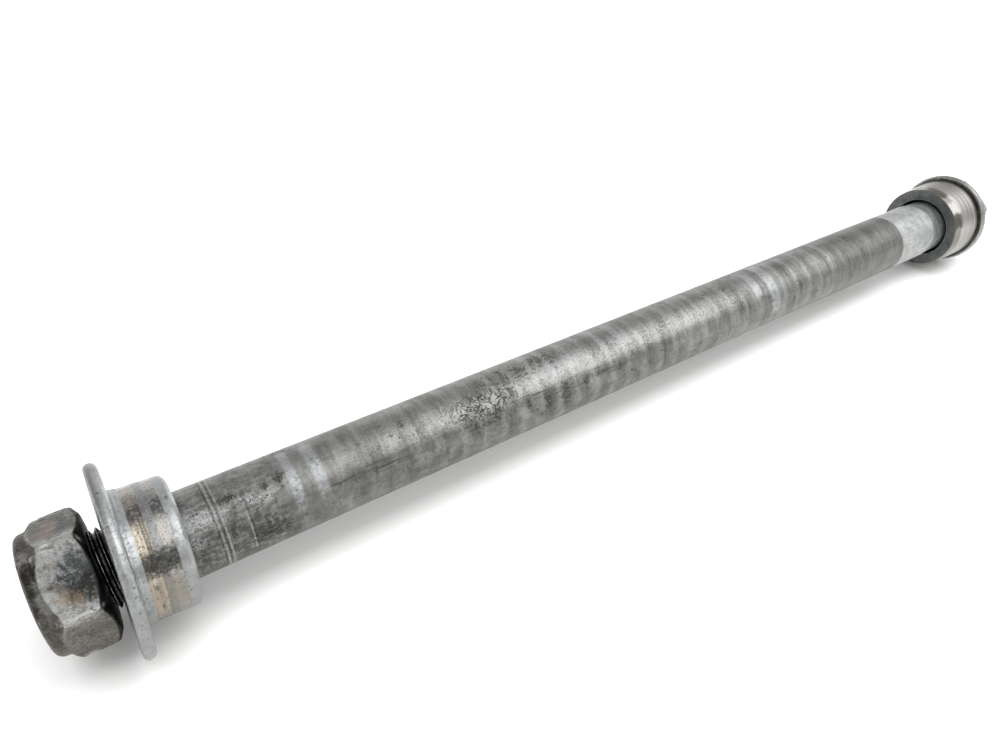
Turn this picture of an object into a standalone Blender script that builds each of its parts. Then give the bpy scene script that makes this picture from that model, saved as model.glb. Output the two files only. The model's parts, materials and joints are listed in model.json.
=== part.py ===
"""A wheel axle lying on its side, with its self-locking nut, two hub collars and a washer.

Metres, +Z up. The shaft runs along X with the nut at -X and the head at +X.
The origin is under the middle of the object, on the surface that it lies on.
Sizes that end in STEP, WALL, WIDTH or GAP are measured along the radius.
"""
import bmesh
import bpy
from math import acos, asin, atan2, cos, hypot, pi, radians, sin, tan
from mathutils import Matrix, Vector

MM = 0.001

# Fits and gaps
SEAT_GAP = 0.25 * MM
RUNNING_GAP = 0.3 * MM

# Shaft: plain length, thread and neck
AXLE_LENGTH = 335.2 * MM
SHAFT_DIAMETER = 20.0 * MM
NECK_STEP = 0.4 * MM
NECK_LENGTH = 23.6 * MM
NECK_CHAMFER = 0.7 * MM
NECK_FILLET = 0.5 * MM
THREAD_STEP = 1.0 * MM
THREAD_PITCH = 1.5 * MM
THREAD_CHAMFER = 1.0 * MM
THREAD_PAST_NUT = 8.2 * MM

# Head: the height of its flats over the shaft, and its length along the shaft
HEAD_STEP = 2.0 * MM
HEAD_HEIGHT = 7.5 * MM
HEAD_FACE_STEP = 0.6 * MM
HEAD_TURN = radians(1.0)

# Self-locking nut, from its thread outwards
NUT_HEIGHT = 13.2 * MM
NUT_COUNTERSINK = 0.6 * MM
NUT_OVERHANG = 0.9 * MM
NUT_TURN = radians(11.0)
RING_SEAT_STEP = 2.3 * MM
CROWN_WALL = 2.1 * MM
CROWN_SIDE = 1.3 * MM
CROWN_ROUND = 1.7 * MM
CROWN_LIP = 0.8 * MM
CROWN_MOUTH_GAP = 0.8 * MM
NUT_FLAT_STEP = 0.1 * MM
NUT_FACE_STEP = 0.6 * MM
NUT_CORNER_LOSS = 0.39 * MM
CHAMFER_ANGLE = radians(30.0)

# Locking ring, held in the crown
RING_THICKNESS = 1.5 * MM

# Flanged collar on the nut's side, from its flange to its free end
FLANGED_COLLAR_PLAY = 1.0 * MM
FLANGED_COLLAR_LIFT = 0.18 * MM
FLANGE_WIDTH = 6.8 * MM
FLANGE_THICKNESS = 2.7 * MM
HUB_STEP = 0.15 * MM
HUB_LENGTH = 2.0 * MM
BARREL_WALL = 3.85 * MM
BARREL_LENGTH = 6.5 * MM
END_BAND_LENGTH = 2.2 * MM
END_CHAMFER = 0.8 * MM
GROOVE_WIDTH = 0.35 * MM
GROOVE_DEPTH = 0.2 * MM
BORE_CHAMFER = 0.3 * MM
NUT_TO_COLLAR = 2.3 * MM

# Plain collar on the head's side, with a groove between each two bands
PLAIN_COLLAR_WALL = 4.1 * MM
PLAIN_COLLAR_BANDS = (3.7 * MM, 4.2 * MM, 6.6 * MM)
PLAIN_COLLAR_MOUTH_STEP = 0.6 * MM
PLAIN_COLLAR_CHAMFER = 0.4 * MM

# Washer under the head
WASHER_WIDTH = 6.2 * MM
WASHER_THICKNESS = 2.3 * MM
WASHER_CHAMFER = 0.3 * MM

# Facets round each turned piece, and along each rounded edge
TURN_STEPS = 48
ROUND_STEPS = 6
SHARP_ANGLE = radians(28.0)
MERGE_DISTANCE = 1e-7

# Radii that follow from each other
SHAFT_RADIUS = SHAFT_DIAMETER / 2
THREAD_RADIUS = SHAFT_RADIUS - THREAD_STEP
RUNNING_BORE = SHAFT_RADIUS + RUNNING_GAP
RING_SEAT_RADIUS = THREAD_RADIUS + RING_SEAT_STEP
CROWN_RADIUS = RING_SEAT_RADIUS + CROWN_WALL
FLANGED_COLLAR_BORE = SHAFT_RADIUS + FLANGED_COLLAR_PLAY
BARREL_RADIUS = FLANGED_COLLAR_BORE + BARREL_WALL
HUB_RADIUS = BARREL_RADIUS + HUB_STEP
FLANGE_RADIUS = HUB_RADIUS + FLANGE_WIDTH
WASHER_RADIUS = RUNNING_BORE + WASHER_WIDTH

# A plain cylinder at the pitch diameter stands for the fine thread
PITCH_LINE_DEPTH = 0.3248 * THREAD_PITCH
PITCH_RADIUS = THREAD_RADIUS - PITCH_LINE_DEPTH
NUT_BORE = PITCH_RADIUS + RUNNING_GAP

# Places along the shaft's line, measured from the middle of the object
HALF_LENGTH = (AXLE_LENGTH + NUT_OVERHANG) / 2
HEAD_FACE_X = HALF_LENGTH - HEAD_HEIGHT
THREAD_END_X = HALF_LENGTH - AXLE_LENGTH
NUT_FACE_X = NUT_HEIGHT - HALF_LENGTH
SHOULDER_X = NUT_FACE_X + THREAD_PAST_NUT
WASHER_X = HEAD_FACE_X - SEAT_GAP - WASHER_THICKNESS
PLAIN_COLLAR_LENGTH = sum(PLAIN_COLLAR_BANDS)
PLAIN_COLLAR_X = WASHER_X - SEAT_GAP - PLAIN_COLLAR_LENGTH
FLANGED_COLLAR_LENGTH = FLANGE_THICKNESS + HUB_LENGTH + BARREL_LENGTH + END_BAND_LENGTH + END_CHAMFER


def facet(radius):
    """The distance from the axis to the middle of a facet of a turned piece."""
    return radius * cos(pi / TURN_STEPS)


def collar_tilt():
    """How far the loose flanged collar tips on the shaft before its bore's ends meet it."""
    half = FLANGED_COLLAR_LENGTH / 2
    room = SHAFT_RADIUS + SEAT_GAP + FLANGED_COLLAR_LIFT
    return acos(min(1.0, room / hypot(FLANGED_COLLAR_BORE, half))) - atan2(half, FLANGED_COLLAR_BORE)


TILT = collar_tilt()
FLANGED_COLLAR_X = NUT_FACE_X + NUT_TO_COLLAR + FLANGED_COLLAR_LENGTH / 2 * cos(TILT)


def resting_line():
    """The shaft's lean and its height at the middle, lying on the flange and on the washer."""
    rim = FLANGE_THICKNESS / 2
    ring = facet(FLANGE_RADIUS - rim)
    along = FLANGED_COLLAR_LENGTH / 2 - rim
    flange_x = FLANGED_COLLAR_X - along * cos(TILT) - ring * sin(TILT)
    flange_z = FLANGED_COLLAR_LIFT + along * sin(TILT) - ring * cos(TILT)
    washer_x = WASHER_X + WASHER_THICKNESS - WASHER_CHAMFER
    washer_z = -facet(WASHER_RADIUS)
    run = washer_x - flange_x
    rise = washer_z - flange_z
    lean = atan2(rise, run) + asin(facet(rim) / hypot(run, rise))
    return lean, washer_x * sin(lean) - washer_z * cos(lean)


def material(name, colour, roughness):
    made = bpy.data.materials.new(name)
    made.use_nodes = True
    shader = made.node_tree.nodes["Principled BSDF"]
    shader.inputs["Base Color"].default_value = (*colour, 1.0)
    shader.inputs["Roughness"].default_value = roughness
    shader.inputs["Metallic"].default_value = 1.0
    return made


def round_edge(centre_x, centre_r, radius, start, end):
    """Points along a rounded edge; the angles run from +X towards the outside."""
    points = []
    for step in range(ROUND_STEPS + 1):
        angle = start + (end - start) * step / ROUND_STEPS
        points.append((centre_x + radius * cos(angle), centre_r + radius * sin(angle)))
    return points


def groove(x, radius):
    """A shallow groove cut with a round tool, met from the left; x is its left edge."""
    quarter = GROOVE_WIDTH / 4
    floor = radius - GROOVE_DEPTH
    return [(x, radius), (x + quarter, floor), (x + 3 * quarter, floor), (x + GROOVE_WIDTH, radius)]


def turned(name, profile, finish, closed=True):
    """A turned piece about X from (x, radius) points; an open profile starts and ends on the axis."""
    mesh = bpy.data.meshes.new(name)
    shape = bmesh.new()
    start = Matrix.Rotation(pi / TURN_STEPS, 3, "X")
    verts = [shape.verts.new(start @ Vector((x, 0.0, -r))) for x, r in profile]
    edges = [shape.edges.new(pair) for pair in zip(verts, verts[1:])]
    if closed:
        edges.append(shape.edges.new((verts[-1], verts[0])))
    bmesh.ops.spin(shape, geom=verts + edges, cent=(0, 0, 0), axis=(1, 0, 0), angle=2 * pi,
                   steps=TURN_STEPS, use_merge=True, use_duplicate=False)
    bmesh.ops.remove_doubles(shape, verts=shape.verts, dist=MERGE_DISTANCE)
    bmesh.ops.recalc_face_normals(shape, faces=shape.faces)
    shape.to_mesh(mesh)
    shape.free()
    mesh.shade_smooth()
    mesh.set_sharp_from_angle(angle=SHARP_ANGLE)
    mesh.materials.append(finish)
    piece = bpy.data.objects.new(name, mesh)
    bpy.context.collection.objects.link(piece)
    return piece


def cut_hexagon(piece, flat, turn):
    """Leaves only what lies inside a hexagonal bar along X; turn 0 has a corner on top."""
    xs = [corner[0] for corner in piece.bound_box]
    low_x = min(xs) - HEAD_HEIGHT
    high_x = max(xs) + HEAD_HEIGHT
    mesh = bpy.data.meshes.new(piece.name + "_hexagon")
    shape = bmesh.new()
    bmesh.ops.create_circle(shape, cap_ends=True, segments=6, radius=flat / cos(pi / 6))
    # the circle's first corner lies at +Y: a quarter turn about X brings it to the top
    stand = Matrix.Rotation(turn + pi / 2, 4, "X") @ Matrix.Rotation(pi / 2, 4, "Y")
    bmesh.ops.transform(shape, matrix=Matrix.Translation((low_x, 0, 0)) @ stand, verts=shape.verts)
    spread = bmesh.ops.extrude_face_region(shape, geom=shape.faces[:])
    moved = [item for item in spread["geom"] if isinstance(item, bmesh.types.BMVert)]
    bmesh.ops.translate(shape, verts=moved, vec=(high_x - low_x, 0, 0))
    bmesh.ops.recalc_face_normals(shape, faces=shape.faces)
    shape.to_mesh(mesh)
    shape.free()
    cutter = bpy.data.objects.new(mesh.name, mesh)
    bpy.context.collection.objects.link(cutter)
    cutter.parent = piece
    cutter.hide_render = True
    cutter.display_type = "WIRE"
    cut = piece.modifiers.new("hexagon", "BOOLEAN")
    cut.operation = "INTERSECT"
    cut.solver = "EXACT"
    cut.object = cutter


def axle():
    """The shaft with its threaded end, its neck and its hexagon head, in one piece."""
    neck = SHAFT_RADIUS - NECK_STEP
    neck_x = HEAD_FACE_X - NECK_LENGTH
    flat = SHAFT_RADIUS + HEAD_STEP
    corner = flat / cos(pi / 6)
    face = flat - HEAD_FACE_STEP
    profile = [(THREAD_END_X, 0.0), (THREAD_END_X, PITCH_RADIUS - THREAD_CHAMFER),
               (THREAD_END_X + THREAD_CHAMFER, PITCH_RADIUS), (SHOULDER_X, PITCH_RADIUS),
               (SHOULDER_X + SHAFT_RADIUS - PITCH_RADIUS, SHAFT_RADIUS),
               (neck_x - NECK_CHAMFER, SHAFT_RADIUS), (neck_x, neck)]
    profile += round_edge(HEAD_FACE_X - NECK_FILLET, neck + NECK_FILLET, NECK_FILLET, -pi / 2, 0.0)
    profile += [(HEAD_FACE_X, corner), (HALF_LENGTH - (corner - face) * tan(CHAMFER_ANGLE), corner),
                (HALF_LENGTH, face), (HALF_LENGTH, 0.0)]
    steel = material("worn_steel", (0.30, 0.29, 0.27), 0.42)
    piece = turned("axle", profile, steel, closed=False)
    cut_hexagon(piece, flat, HEAD_TURN)
    return piece


def nut():
    """The hexagon nut with its round crown; x is 0 at its bearing face and runs back to its crown."""
    flat = CROWN_RADIUS + NUT_FLAT_STEP
    corner = flat / cos(pi / 6) - NUT_CORNER_LOSS
    face = flat - NUT_FACE_STEP
    mouth = THREAD_RADIUS + CROWN_MOUTH_GAP
    hexagon_end = CROWN_SIDE + CROWN_ROUND - NUT_HEIGHT
    seat_end = CROWN_LIP - NUT_HEIGHT
    seat_start = seat_end + RING_THICKNESS + 2 * SEAT_GAP
    drop = tan(CHAMFER_ANGLE)
    profile = [(-NUT_COUNTERSINK, NUT_BORE), (0.0, NUT_BORE + NUT_COUNTERSINK), (0.0, face),
               ((face - corner) * drop, corner), (hexagon_end + (corner - CROWN_RADIUS) * drop, corner),
               (hexagon_end, CROWN_RADIUS)]
    profile += round_edge(CROWN_ROUND - NUT_HEIGHT, CROWN_RADIUS - CROWN_ROUND, CROWN_ROUND, pi / 2, pi)
    profile += [(-NUT_HEIGHT, mouth), (seat_end, mouth), (seat_end, RING_SEAT_RADIUS),
                (seat_start, RING_SEAT_RADIUS), (seat_start, NUT_BORE)]
    iron = material("dark_worn_iron", (0.12, 0.105, 0.09), 0.5)
    piece = turned("axle_nut", profile, iron)
    cut_hexagon(piece, flat, NUT_TURN)
    piece.location.x = NUT_FACE_X
    return piece


def locking_ring():
    """The flat ring in the crown that grips the thread."""
    outer = RING_SEAT_RADIUS - RUNNING_GAP
    profile = [(0.0, NUT_BORE), (RING_THICKNESS, NUT_BORE), (RING_THICKNESS, outer), (0.0, outer)]
    spring_steel = material("spring_steel", (0.22, 0.21, 0.20), 0.35)
    piece = turned("locking_ring", profile, spring_steel)
    piece.location.x = NUT_FACE_X - NUT_HEIGHT + CROWN_LIP + SEAT_GAP
    return piece


def flanged_collar():
    """The collar with the round-edged flange, about its own middle."""
    half = FLANGED_COLLAR_LENGTH / 2
    mouth = FLANGED_COLLAR_BORE + BORE_CHAMFER
    rim = FLANGE_THICKNESS / 2
    hub_x = FLANGE_THICKNESS - half
    barrel_x = hub_x + HUB_LENGTH
    band_x = barrel_x + BARREL_LENGTH
    profile = [(-half, mouth)]
    profile += round_edge(rim - half, FLANGE_RADIUS - rim, rim, pi, 0.0)
    profile += [(hub_x, HUB_RADIUS)]
    profile += groove(hub_x + (HUB_LENGTH - GROOVE_WIDTH) / 2, HUB_RADIUS)
    profile += [(barrel_x, HUB_RADIUS)]
    profile += groove(barrel_x + GROOVE_WIDTH / 2, BARREL_RADIUS)
    profile += groove(band_x - GROOVE_WIDTH, BARREL_RADIUS)
    profile += [(half - END_CHAMFER, BARREL_RADIUS), (half, BARREL_RADIUS - END_CHAMFER), (half, mouth),
                (half - BORE_CHAMFER, FLANGED_COLLAR_BORE), (BORE_CHAMFER - half, FLANGED_COLLAR_BORE)]
    zinc = material("scuffed_zinc", (0.42, 0.43, 0.44), 0.36)
    piece = turned("flanged_collar", profile, zinc)
    piece.location.z = FLANGED_COLLAR_LIFT
    piece.rotation_euler.y = TILT
    return piece


def plain_collar():
    """The plain grooved collar beside the washer; x is 0 at its front face."""
    outer = RUNNING_BORE + PLAIN_COLLAR_WALL
    mouth = RUNNING_BORE + PLAIN_COLLAR_MOUTH_STEP
    edge = outer - PLAIN_COLLAR_CHAMFER
    profile = [(PLAIN_COLLAR_MOUTH_STEP, RUNNING_BORE), (0.0, mouth), (0.0, edge), (PLAIN_COLLAR_CHAMFER, outer)]
    place = 0.0
    for band in PLAIN_COLLAR_BANDS[:-1]:
        place += band
        profile += groove(place, outer)
    profile += [(PLAIN_COLLAR_LENGTH - PLAIN_COLLAR_CHAMFER, outer), (PLAIN_COLLAR_LENGTH, edge),
                (PLAIN_COLLAR_LENGTH, RUNNING_BORE)]
    polished = material("polished_steel", (0.46, 0.44, 0.42), 0.24)
    piece = turned("plain_collar", profile, polished)
    piece.location.x = PLAIN_COLLAR_X
    return piece


def washer():
    """The flat washer between the plain collar and the head; x is 0 at its collar side."""
    edge = WASHER_RADIUS - WASHER_CHAMFER
    profile = [(0.0, RUNNING_BORE), (0.0, edge), (WASHER_CHAMFER, WASHER_RADIUS),
               (WASHER_THICKNESS - WASHER_CHAMFER, WASHER_RADIUS), (WASHER_THICKNESS, edge),
               (WASHER_THICKNESS, RUNNING_BORE)]
    plated = material("stained_zinc", (0.25, 0.23, 0.20), 0.45)
    piece = turned("washer", profile, plated)
    piece.location.x = WASHER_X
    return piece


def guide(name, parent=None):
    empty = bpy.data.objects.new(name, None)
    empty.empty_display_size = SHAFT_RADIUS
    bpy.context.collection.objects.link(empty)
    empty.parent = parent
    return empty


def main():
    for old in list(bpy.data.objects):
        bpy.data.objects.remove(old, do_unlink=True)
    line = guide("shaft_line")
    lean, height = resting_line()
    line.location.z = height
    line.rotation_euler.y = lean
    for piece in (axle(), nut(), locking_ring(), plain_collar(), washer()):
        piece.parent = line
    seat = guide("collar_seat", line)
    seat.location.x = FLANGED_COLLAR_X
    flanged_collar().parent = seat


main()
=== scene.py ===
"""The looks of a worn wheel axle: its shaft, locking nut, hub collars and washer on a pale floor.

Pieces are modelled in millimetres along the shaft's own line, with x = 0 at the middle of the
object, and are then brought to their place in metres. Angles go round that line in degrees,
from the top towards -Y, which is the side that faces the camera.
"""
import json
from math import atan2, ceil, cos, floor, hypot, pi, radians, tan

import bmesh
import bpy
from mathutils import Matrix, Vector, noise


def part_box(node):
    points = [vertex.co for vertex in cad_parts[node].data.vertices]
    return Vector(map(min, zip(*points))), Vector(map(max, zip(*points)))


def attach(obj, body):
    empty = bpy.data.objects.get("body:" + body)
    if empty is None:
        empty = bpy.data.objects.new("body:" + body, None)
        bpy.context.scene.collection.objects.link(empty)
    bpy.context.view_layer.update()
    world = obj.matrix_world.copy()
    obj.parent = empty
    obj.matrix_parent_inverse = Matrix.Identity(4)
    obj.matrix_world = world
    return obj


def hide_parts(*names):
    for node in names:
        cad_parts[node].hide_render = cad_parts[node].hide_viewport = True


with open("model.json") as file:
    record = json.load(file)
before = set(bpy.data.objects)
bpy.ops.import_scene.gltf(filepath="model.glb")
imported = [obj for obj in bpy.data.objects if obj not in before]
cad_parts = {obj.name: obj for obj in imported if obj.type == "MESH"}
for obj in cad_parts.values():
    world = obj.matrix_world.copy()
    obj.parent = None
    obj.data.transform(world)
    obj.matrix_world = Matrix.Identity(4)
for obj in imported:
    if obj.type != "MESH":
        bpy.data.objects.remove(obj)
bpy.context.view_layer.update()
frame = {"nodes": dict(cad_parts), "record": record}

MM = 0.001
JOINTS = {joint["name"]: joint for joint in frame["record"]["behaviour"]["joints"]}
MOUNTS = {mount["name"]: mount for mount in frame["record"]["mounts"]}

# Round pieces: steps round a turn and over a rounded corner, and the angle past which an edge is sharp
TURN_STEPS = 128
THREAD_STEPS = 72
ROUND_STEPS = 4
SHARP_ANGLE = radians(32)
MERGE_DISTANCE = 1e-3
CUT_DISTANCE = 1e-5
# How far a bar or tap reaches past the piece that it shapes, and how far joined parts overlap
BAR_SPARE = 5.0
TAP_SPARE = 2.0
NECK_OVERLAP = 1.0
THREAD_OVERLAP = 0.6

# Shaft and thread
SHAFT_RADIUS = 10.0
NECK_RADIUS = 9.6
NECK_LENGTH = 23.6
NECK_CHAMFER = 0.7
THREAD_CREST = 8.95
THREAD_ROOT = 8.05
THREAD_PITCH = 1.5
THREAD_LENGTH = 20.5
THREAD_CHAMFER = 1.1
THREAD_ROUND = 0.06
CHAMFER_CUTS = (0.25, 0.5, 0.75, 1.0)
NUT_THREAD_GAP = 0.1

# Hexagons, from the axis to the middle of a flat
HEAD_FLAT = 12.0
HEAD_HEIGHT = 7.5
HEAD_FACE = 11.4
HEAD_CORNER = 13.8
HEAD_TURN = 1.0
HEAD_SOFT = 0.4
NUT_FLAT = 13.5
NUT_CORNER = 15.2
NUT_FACE = 12.9
NUT_TURN = 11.0
NUT_SOFT = 0.6
CHAMFER_ANGLE = radians(30)
CROWN_CHAMFER_ANGLE = radians(43)
NUT_VOXEL = 0.24
# The two flats that face the camera, in degrees round the shaft
FRONT_FLAT = (13, 69)
LOW_FLAT = (73, 132)

# Nut's crown and the ring in it
CROWN_RADIUS = 13.4
CROWN_HEIGHT = 2.5
CROWN_WORN = 0.5
CROWN_ROUND = 1.7
CROWN_MOUTH = 9.8
RING_SEAT = 11.3
RING_BORE = 9.1
RING_GAP = 0.25
RING_THICKNESS = 1.5

# Flanged collar, along its own axis from its middle
COLLAR_BORE = 11.0
COLLAR_MOUTH = 11.3
FLANGE_THICKNESS = 2.7
HUB_RADIUS = 15.0
HUB_END = -2.45
BARREL_RADIUS = 14.85
COLLAR_GROOVES = (-0.72, 4.48)
HUB_BEAD = 0.14
END_CHAMFER = 0.8

# Plain collar and washer
PLAIN_RADIUS = 14.4
PLAIN_REAR_RADIUS = 14.85
PLAIN_SHOULDER = 4.2
PLAIN_MOUTH = 10.9
RUNNING_BORE = 10.3
PLAIN_GROOVES = (6.6, 9.0, 11.2)
WASHER_EDGE = 0.7

# Where the shaft's finish changes along it, and its rubbed bands
DULL_START = 79.6
CLEAN_START = 117.0
BAND_MIDDLE = -2.5
BAND_SPACING = 6.15

# The flanged collar's bands worn through the zinc, and all of its barrel, along its axis
FIRST_BAND = (-2.3, 0.4)
SECOND_BAND = (2.25, 4.3)
BARREL = (-2.35, 4.4)

# Stage: the camera's lens and sensor in millimetres, all else in metres and degrees
LENS = 27.36
SENSOR = 36.0
CAMERA_PLACE = (-0.142695, -0.13151, 0.151326)
CAMERA_TILT = 52.462
CAMERA_TURN = -34.194
FLOOR_REACH = 8.0
FLOOR_COLOUR = (0.89, 0.89, 0.885, 1.0)
WORLD_STRENGTH = 0.6


def line_matrix(point, axis):
    """Takes millimetres along a line with that direction to metres in the frame."""
    lean = atan2(-axis.z, axis.x)
    return Matrix.Translation(point) @ Matrix.Rotation(lean, 4, "Y") @ Matrix.Scale(MM, 4)


def span(node, line):
    """Where a node of the frame starts and ends along a line, in millimetres."""
    back = line.inverted()
    places = [(back @ vert.co).x for vert in frame["nodes"][node].data.vertices]
    return min(places), max(places)


def find_shaft_line():
    joint = JOINTS["nut_turn"]
    axis = Vector(joint["axis"])
    point = Vector(joint["pos_m"])
    return line_matrix(point - axis * (point.x / axis.x), axis)


def find_collar_line():
    """The tipped collar's own axis, with x = 0 at the collar's middle."""
    axis = Vector(MOUNTS["nut_side_bearing_face"]["axis"])
    verts = frame["nodes"]["flanged_collar"].data.vertices
    centre = sum((vert.co for vert in verts), Vector()) / len(verts)
    line = line_matrix(centre, axis)
    low, high = span("flanged_collar", line)
    return line @ Matrix.Translation(((low + high) / 2, 0, 0))


SHAFT_LINE = find_shaft_line()
COLLAR_LINE = find_collar_line()
THREAD_END, HEAD_END = span("axle", SHAFT_LINE)
CROWN_END, NUT_END = span("axle_nut", SHAFT_LINE)
CROWN_END += CROWN_WORN
PLAIN_START, PLAIN_END = span("plain_collar", SHAFT_LINE)
WASHER_START, WASHER_END = span("washer", SHAFT_LINE)
RING_START = span("locking_ring", SHAFT_LINE)[0]
COLLAR_START, COLLAR_END = span("flanged_collar", COLLAR_LINE)
HEAD_START = HEAD_END - HEAD_HEIGHT
NECK_START = HEAD_START - NECK_LENGTH
SHOULDER = THREAD_END + THREAD_LENGTH
# The flange stays a hair inside its solid
FLANGE_RADIUS = (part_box("flanged_collar")[1][1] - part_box("flanged_collar")[0][1]) / 2 / MM - 0.01
WASHER_RADIUS = (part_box("washer")[1][1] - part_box("washer")[0][1]) / 2 / MM


# Modelling

def add_object(name, data):
    added = bpy.data.objects.new(name, data)
    bpy.context.collection.objects.link(added)
    return added


def finish_mesh(shape, name):
    """Closes a bmesh into a mesh object in millimetres."""
    bmesh.ops.remove_doubles(shape, verts=shape.verts, dist=MERGE_DISTANCE)
    bmesh.ops.recalc_face_normals(shape, faces=shape.faces)
    mesh = bpy.data.meshes.new(name)
    shape.to_mesh(mesh)
    shape.free()
    return add_object(name, mesh)


def everything(shape):
    return shape.verts[:] + shape.edges[:] + shape.faces[:]


def only_verts(items):
    return [item for item in items if isinstance(item, bmesh.types.BMVert)]


def chain(shape, profile):
    """Joins (x, radius) points by edges and gives back their corners."""
    verts = [shape.verts.new((point[0], 0, point[1])) for point in profile]
    for pair in zip(verts, verts[1:]):
        shape.edges.new(pair)
    return verts


def soften(shape, parts, size, affect, steps=ROUND_STEPS):
    """Rounds the corners of a profile or the edges of a solid."""
    bmesh.ops.bevel(shape, geom=parts, offset=size, offset_type="OFFSET", segments=steps, profile=0.5,
                    affect=affect, clamp_overlap=True, material=-1)


def turned(name, profile, closed=True):
    """A turned piece about X from (x, radius) or (x, radius, rounding) points."""
    shape = bmesh.new()
    verts = chain(shape, profile)
    if closed:
        shape.edges.new((verts[-1], verts[0]))
    roundings = {}
    for vert, point in zip(verts, profile):
        if len(point) > 2:
            roundings.setdefault(point[2], []).append(vert)
    for size, corners in sorted(roundings.items()):
        soften(shape, corners, size, "VERTICES")
    bmesh.ops.spin(shape, geom=everything(shape), cent=(0, 0, 0), axis=(1, 0, 0), angle=2 * pi,
                   steps=TURN_STEPS, use_merge=True, use_duplicate=False)
    return finish_mesh(shape, name)


def hexagon_bar(name, flat, low, high, turn, rounding):
    """A hexagonal bar about X with softened long edges; turn 0 has a corner on top."""
    shape = bmesh.new()
    bmesh.ops.create_circle(shape, cap_ends=True, segments=6, radius=flat / cos(pi / 6))
    stand = Matrix.Rotation(radians(turn) + pi / 2, 4, "X") @ Matrix.Rotation(pi / 2, 4, "Y")
    bmesh.ops.transform(shape, matrix=Matrix.Translation((low, 0, 0)) @ stand, verts=shape.verts)
    spread = bmesh.ops.extrude_face_region(shape, geom=shape.faces[:])
    bmesh.ops.translate(shape, verts=only_verts(spread["geom"]), vec=(high - low, 0, 0))
    long_edges = [edge for edge in shape.edges if abs(edge.verts[0].co.x - edge.verts[1].co.x) > 1]
    soften(shape, long_edges, rounding, "EDGES")
    return finish_mesh(shape, name)


def threaded_bar(name, crest, root, low, high, chamfer=0.0):
    """A bar with a right-hand thread, closed at both ends and chamfered at its low end."""
    flank = THREAD_PITCH * 5 / 16
    crest_start = THREAD_PITCH / 8 + flank
    crest_end = crest_start + THREAD_PITCH / 8
    start = THREAD_END + (floor((low - THREAD_END) / THREAD_PITCH) - 2) * THREAD_PITCH
    profile = [(0, root), (THREAD_PITCH / 8, root), (crest_start, crest), (crest_end, crest),
               (crest_end + flank, root), (THREAD_PITCH, root)]
    shape = bmesh.new()
    verts = chain(shape, [(start + x, radius) for x, radius in profile])
    soften(shape, verts[2:4], THREAD_ROUND, "VERTICES", steps=2)
    bmesh.ops.spin(shape, geom=everything(shape), cent=(0, 0, 0), axis=(1, 0, 0),
                   dvec=(THREAD_PITCH / THREAD_STEPS, 0, 0), angle=2 * pi, steps=THREAD_STEPS,
                   use_merge=False, use_duplicate=False)
    first = everything(shape)
    turns = ceil((high - low) / THREAD_PITCH) + 3
    for number in range(1, turns):
        copied = bmesh.ops.duplicate(shape, geom=first)["geom"]
        bmesh.ops.translate(shape, verts=only_verts(copied), vec=(number * THREAD_PITCH, 0, 0))
    bmesh.ops.remove_doubles(shape, verts=shape.verts, dist=MERGE_DISTANCE)
    for cut, outward in ((low, -1), (high, 1)):
        bmesh.ops.bisect_plane(shape, geom=everything(shape), dist=CUT_DISTANCE, plane_co=(cut, 0, 0),
                               plane_no=(outward, 0, 0), clear_outer=True)
    if chamfer:
        chamfer_thread(shape, crest, low, chamfer)
    rim = [edge for edge in shape.edges if edge.is_boundary]
    bmesh.ops.holes_fill(shape, edges=rim, sides=0)
    return finish_mesh(shape, name)


def chamfer_thread(shape, crest, low, chamfer):
    """Takes the low end of a thread down at 45 degrees."""
    for part in CHAMFER_CUTS:
        bmesh.ops.bisect_plane(shape, geom=everything(shape), dist=CUT_DISTANCE,
                               plane_co=(low + part * chamfer, 0, 0), plane_no=(1, 0, 0))
    for vert in shape.verts:
        radius = hypot(vert.co.y, vert.co.z)
        limit = crest - chamfer + max(0.0, vert.co.x - low)
        if radius > limit:
            vert.co.y *= limit / radius
            vert.co.z *= limit / radius


def settle(piece):
    """Makes what a piece's modifiers give its own mesh."""
    bpy.context.view_layer.update()
    done = piece.evaluated_get(bpy.context.evaluated_depsgraph_get())
    mesh = bpy.data.meshes.new_from_object(done)
    piece.modifiers.clear()
    piece.data = mesh


def combine(piece, other, operation):
    """Joins, cuts or keeps the common part of two solids, in the first one."""
    step = piece.modifiers.new(operation.lower(), "BOOLEAN")
    step.operation = operation
    step.solver = "EXACT"
    step.object = other
    settle(piece)
    bpy.data.objects.remove(other, do_unlink=True)
    return piece


def place(piece, line, node, body, finishes, sharp=True):
    """Brings a piece to its line, dresses it and lets it stand for its node."""
    piece.data.transform(line)
    piece.data.shade_smooth()
    if sharp:
        piece.data.set_sharp_from_angle(angle=SHARP_ANGLE)
    piece.data.materials.clear()
    for finish in finishes:
        piece.data.materials.append(finish)
    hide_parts(node)
    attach(piece, body)
    return piece


# Finishes

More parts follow.
